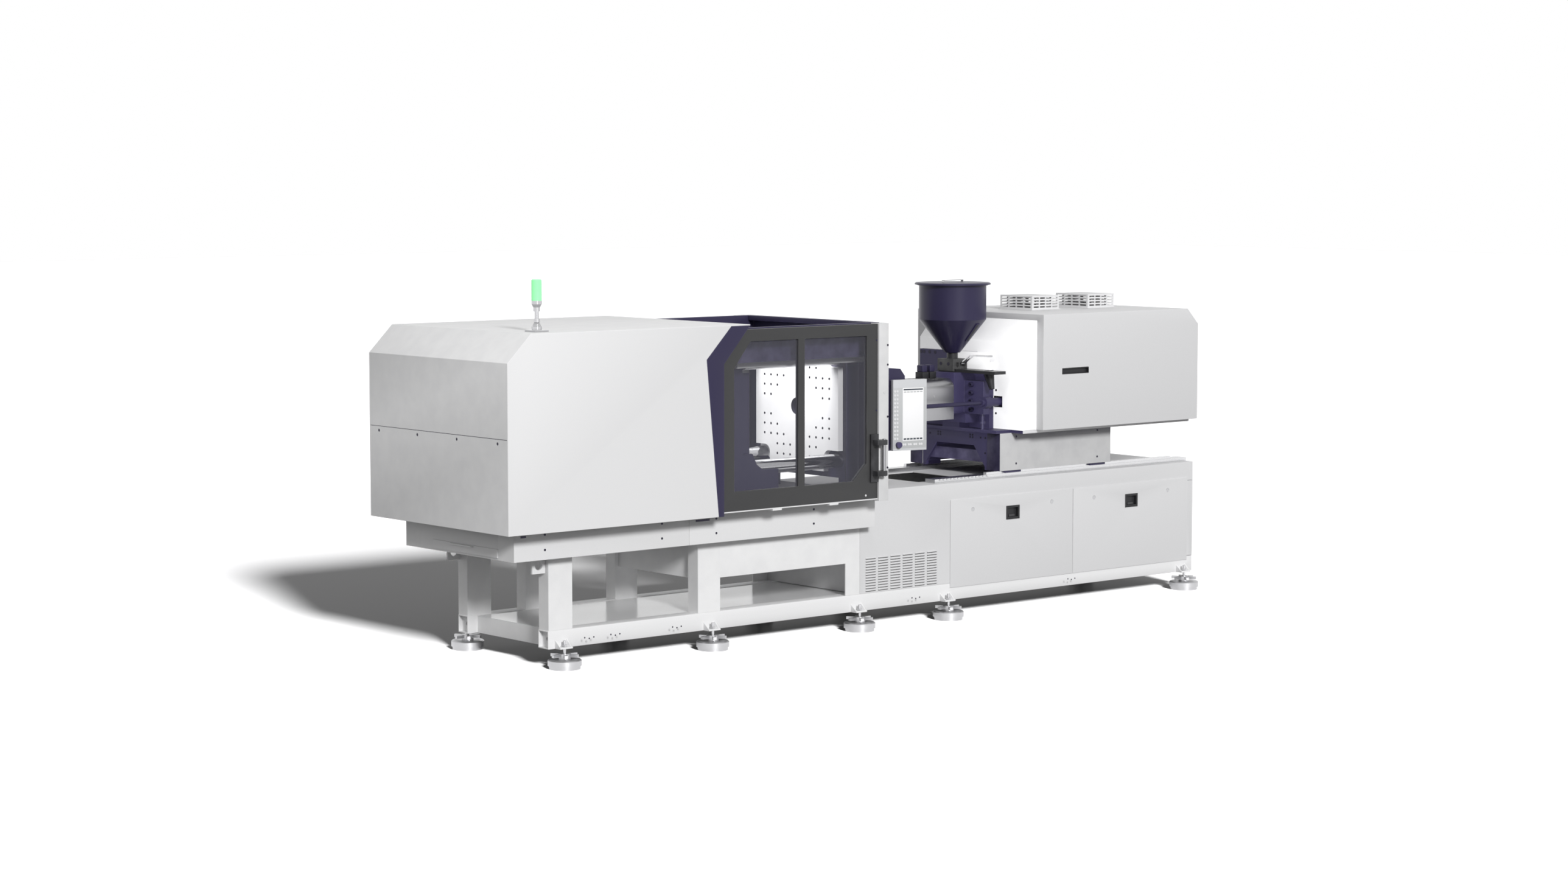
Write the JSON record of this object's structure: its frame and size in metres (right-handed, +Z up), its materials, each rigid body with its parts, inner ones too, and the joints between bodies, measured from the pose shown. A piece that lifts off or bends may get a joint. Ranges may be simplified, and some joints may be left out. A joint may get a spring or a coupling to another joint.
{
  "type": "injection moulding machine",
  "caption": "All-electric horizontal injection moulding machine: covered toggle clamp with sliding doors, platens on tie bars, and an injection carriage with hopper on a floor bed.",
  "frame": {"origin": "on the floor, under the middle of the machine", "axes": "+X from the clamping unit to the injection unit, +Y away from the operator, +Z up"},
  "size_m": [6.668, 1.7043, 2.535],
  "materials": {
    "white_paint": "fine satin powder coat",
    "grey_paint": "satin",
    "indigo_paint": "satin",
    "dark_paint": "satin",
    "black_metal": "matt",
    "machined_steel": "machined",
    "chrome_bar": "polished",
    "tinted_glass": "smoke tint",
    "black_plastic": "matt",
    "panel_plastic": "matt",
    "indigo_plastic": "satin",
    "lamp_plastic": "clear, green"
  },
  "bodies": {
    "machine_frame": {"base_rails": "white_paint", "floor_tray": "grey_paint", "levelling_feet": "chrome_bar", "clamp_frame": "white_paint", "bed_skirts": "white_paint", "side_panels": "white_paint", "bed_cabinet": "white_paint", "bed_rails": "machined_steel", "clamp_cover": "white_paint", "cover_strips": "indigo_paint", "guard_frame": "indigo_paint", "door_jambs": "white_paint", "fixed_platen": "machined_steel", "rear_platen": "indigo_paint", "tie_bars": "chrome_bar", "platen_ways": "machined_steel", "clamp_motor": "black_metal", "traverse_rods": "indigo_paint", "lamp_base": "chrome_bar", "panel_housing": "indigo_paint"},
    "drip_drawer": {"drip_tray": "white_paint"},
    "left_cabinet_panel": {"cabinet_panel_left": "white_paint"},
    "right_cabinet_panel": {"cabinet_panel_right": "white_paint"},
    "operator_door": {"front_door": "dark_paint", "front_windows": "tinted_glass", "front_handle": "black_plastic"},
    "back_door": {"rear_door": "dark_paint", "rear_windows": "tinted_glass"},
    "platen": {"moving_platen": "indigo_paint"},
    "ejector": {"ejector_plate": "machined_steel"},
    "toggle_crosshead": {"crosshead": "indigo_paint"},
    "rear_upper": {"rear_link_upper": "indigo_paint"},
    "rear_lower": {"rear_link_lower": "indigo_paint"},
    "front_upper": {"front_link_upper": "indigo_paint"},
    "front_lower": {"front_link_lower": "indigo_paint"},
    "cross_upper": {"crosshead_link_upper": "indigo_paint"},
    "cross_lower": {"crosshead_link_lower": "indigo_paint"},
    "screw": {"clamp_screw": "machined_steel"},
    "carriage": {"carriage_frame": "indigo_paint", "carriage_boxes": "white_paint", "injection_frame": "indigo_paint", "barrel": "machined_steel", "heater_shield": "machined_steel", "throat_housing": "indigo_paint", "hopper_slide_bar": "black_metal", "injection_cover": "white_paint", "injection_hood": "white_paint", "roof_vents": "white_paint"},
    "injection_slide_plate": {"injection_plate": "indigo_paint"},
    "melt_screw": {"plasticising_screw": "machined_steel"},
    "ball_screw": {"injection_ball_screw": "machined_steel"},
    "hopper_unit": {"hopper": "indigo_paint", "hopper_lid": "indigo_paint"},
    "lever": {"hopper_lever": "chrome_bar"},
    "lamp": {"lamp_pole": "chrome_bar", "lamp_lens": "lamp_plastic"},
    "panel": {"control_panel": "panel_plastic"},
    "dial": {"panel_dial": "indigo_plastic"},
    "left_fan": {"exhaust_fan_left": "black_plastic"},
    "right_fan": {"exhaust_fan_right": "black_plastic"}
  },
  "joints": [
    {"name": "front_door_slide", "type": "slide", "parent": "machine_frame", "child": "operator_door", "axis": [-1, 0, 0], "range_m": [0, 1.11]},
    {"name": "rear_door_slide", "type": "slide", "parent": "machine_frame", "child": "back_door", "axis": [-1, 0, 0], "range_m": [0, 1.11]},
    {"name": "platen_slide", "type": "slide", "parent": "machine_frame", "child": "platen", "axis": [1, 0, 0], "range_m": [0, 0.5]},
    {"name": "crosshead_slide", "type": "slide", "parent": "machine_frame", "child": "toggle_crosshead", "axis": [1, 0, 0], "range_m": [0, 0.1697]},
    {"name": "rear_upper_pivot", "type": "hinge", "parent": "machine_frame", "child": "rear_upper", "pos_m": [-1.786, 0, 1.681], "axis": [0, 1, 0], "range_deg": [0, 55.1]},
    {"name": "rear_lower_pivot", "type": "hinge", "parent": "machine_frame", "child": "rear_lower", "pos_m": [-1.786, 0, 1.431], "axis": [0, -1, 0], "range_deg": [0, 55.1]},
    {"name": "front_upper_pivot", "type": "hinge", "parent": "platen", "child": "front_upper", "pos_m": [-1.336, 0, 1.681], "axis": [0, -1, 0], "range_deg": [0, 55.1]},
    {"name": "front_lower_pivot", "type": "hinge", "parent": "platen", "child": "front_lower", "pos_m": [-1.336, 0, 1.431], "axis": [0, 1, 0], "range_deg": [0, 55.1]},
    {"name": "crosshead_upper_pivot", "type": "hinge", "parent": "toggle_crosshead", "child": "cross_upper", "pos_m": [-1.56476, 0, 1.611], "axis": [0, -1, 0], "range_deg": [0, 69.9]},
    {"name": "crosshead_lower_pivot", "type": "hinge", "parent": "toggle_crosshead", "child": "cross_lower", "pos_m": [-1.56476, 0, 1.501], "axis": [0, 1, 0], "range_deg": [0, 69.9]},
    {"name": "clamp_screw_spin", "type": "hinge", "parent": "machine_frame", "child": "screw", "pos_m": [-2.44, 0, 1.556], "axis": [1, 0, 0], "continuous": true},
    {"name": "ejector_slide", "type": "slide", "parent": "platen", "child": "ejector", "axis": [1, 0, 0], "range_m": [0, 0.04]},
    {"name": "carriage_slide", "type": "slide", "parent": "machine_frame", "child": "carriage", "axis": [1, 0, 0], "range_m": [0, 0.35]},
    {"name": "injection_slide", "type": "slide", "parent": "carriage", "child": "injection_slide_plate", "axis": [1, 0, 0], "range_m": [0, 0.2]},
    {"name": "melt_screw_spin", "type": "hinge", "parent": "injection_slide_plate", "child": "melt_screw", "pos_m": [0.06, 0, 1.556], "axis": [1, 0, 0], "continuous": true},
    {"name": "ball_screw_spin", "type": "hinge", "parent": "carriage", "child": "ball_screw", "pos_m": [2.265, 0, 1.556], "axis": [1, 0, 0], "continuous": true},
    {"name": "hopper_slide", "type": "slide", "parent": "carriage", "child": "hopper_unit", "axis": [0, -1, 0], "range_m": [0, 0.388]},
    {"name": "hopper_lever_turn", "type": "hinge", "parent": "hopper_unit", "child": "lever", "pos_m": [1.252, -0.1, 1.797], "axis": [-1, 0, 0], "range_deg": [0, 40]},
    {"name": "lamp_tilt", "type": "hinge", "parent": "machine_frame", "child": "lamp", "pos_m": [-2.989, -0.629, 2.24], "axis": [0, 1, 0], "range_deg": [-12, 12]},
    {"name": "panel_swivel", "type": "hinge", "parent": "machine_frame", "child": "panel", "pos_m": [-0.052, -0.764, 1.525], "axis": [0, 0, -1], "range_deg": [-10, 50]},
    {"name": "dial_spin", "type": "hinge", "parent": "panel", "child": "dial", "pos_m": [-0.03551, -0.81147, 1.32], "axis": [-0.2079, -0.9781, 0], "continuous": true},
    {"name": "drip_drawer_slide", "type": "slide", "parent": "machine_frame", "child": "drip_drawer", "axis": [-1, 0, 0], "range_m": [0, 0.32]},
    {"name": "left_panel_tilt", "type": "hinge", "parent": "machine_frame", "child": "left_cabinet_panel", "pos_m": [1.38, -0.5163, 0.219], "axis": [1, 0, 0], "range_deg": [0, 25]},
    {"name": "right_panel_tilt", "type": "hinge", "parent": "machine_frame", "child": "right_cabinet_panel", "pos_m": [2.64, -0.5163, 0.219], "axis": [1, 0, 0], "range_deg": [0, 25]},
    {"name": "left_fan_spin", "type": "hinge", "parent": "carriage", "child": "left_fan", "pos_m": [2.1, 0.047, 2.208], "axis": [0, 0, 1], "continuous": true},
    {"name": "right_fan_spin", "type": "hinge", "parent": "carriage", "child": "right_fan", "pos_m": [2.667, 0.017, 2.208], "axis": [0, 0, 1], "continuous": true}
  ],
  "couplings": [
    {"joint": "crosshead_slide", "follows": "platen_slide", "ratio": 0.33836},
    {"joint": "rear_upper_pivot", "follows": "platen_slide", "rad_per_m": 1.905},
    {"joint": "rear_lower_pivot", "follows": "platen_slide", "rad_per_m": 1.905},
    {"joint": "front_upper_pivot", "follows": "platen_slide", "rad_per_m": 1.905},
    {"joint": "front_lower_pivot", "follows": "platen_slide", "rad_per_m": 1.905},
    {"joint": "crosshead_upper_pivot", "follows": "platen_slide", "rad_per_m": 2.4211},
    {"joint": "crosshead_lower_pivot", "follows": "platen_slide", "rad_per_m": 2.4211},
    {"joint": "clamp_screw_spin", "follows": "platen_slide", "rad_per_m": 106.3},
    {"joint": "ball_screw_spin", "follows": "injection_slide", "rad_per_m": 314.16}
  ]
}
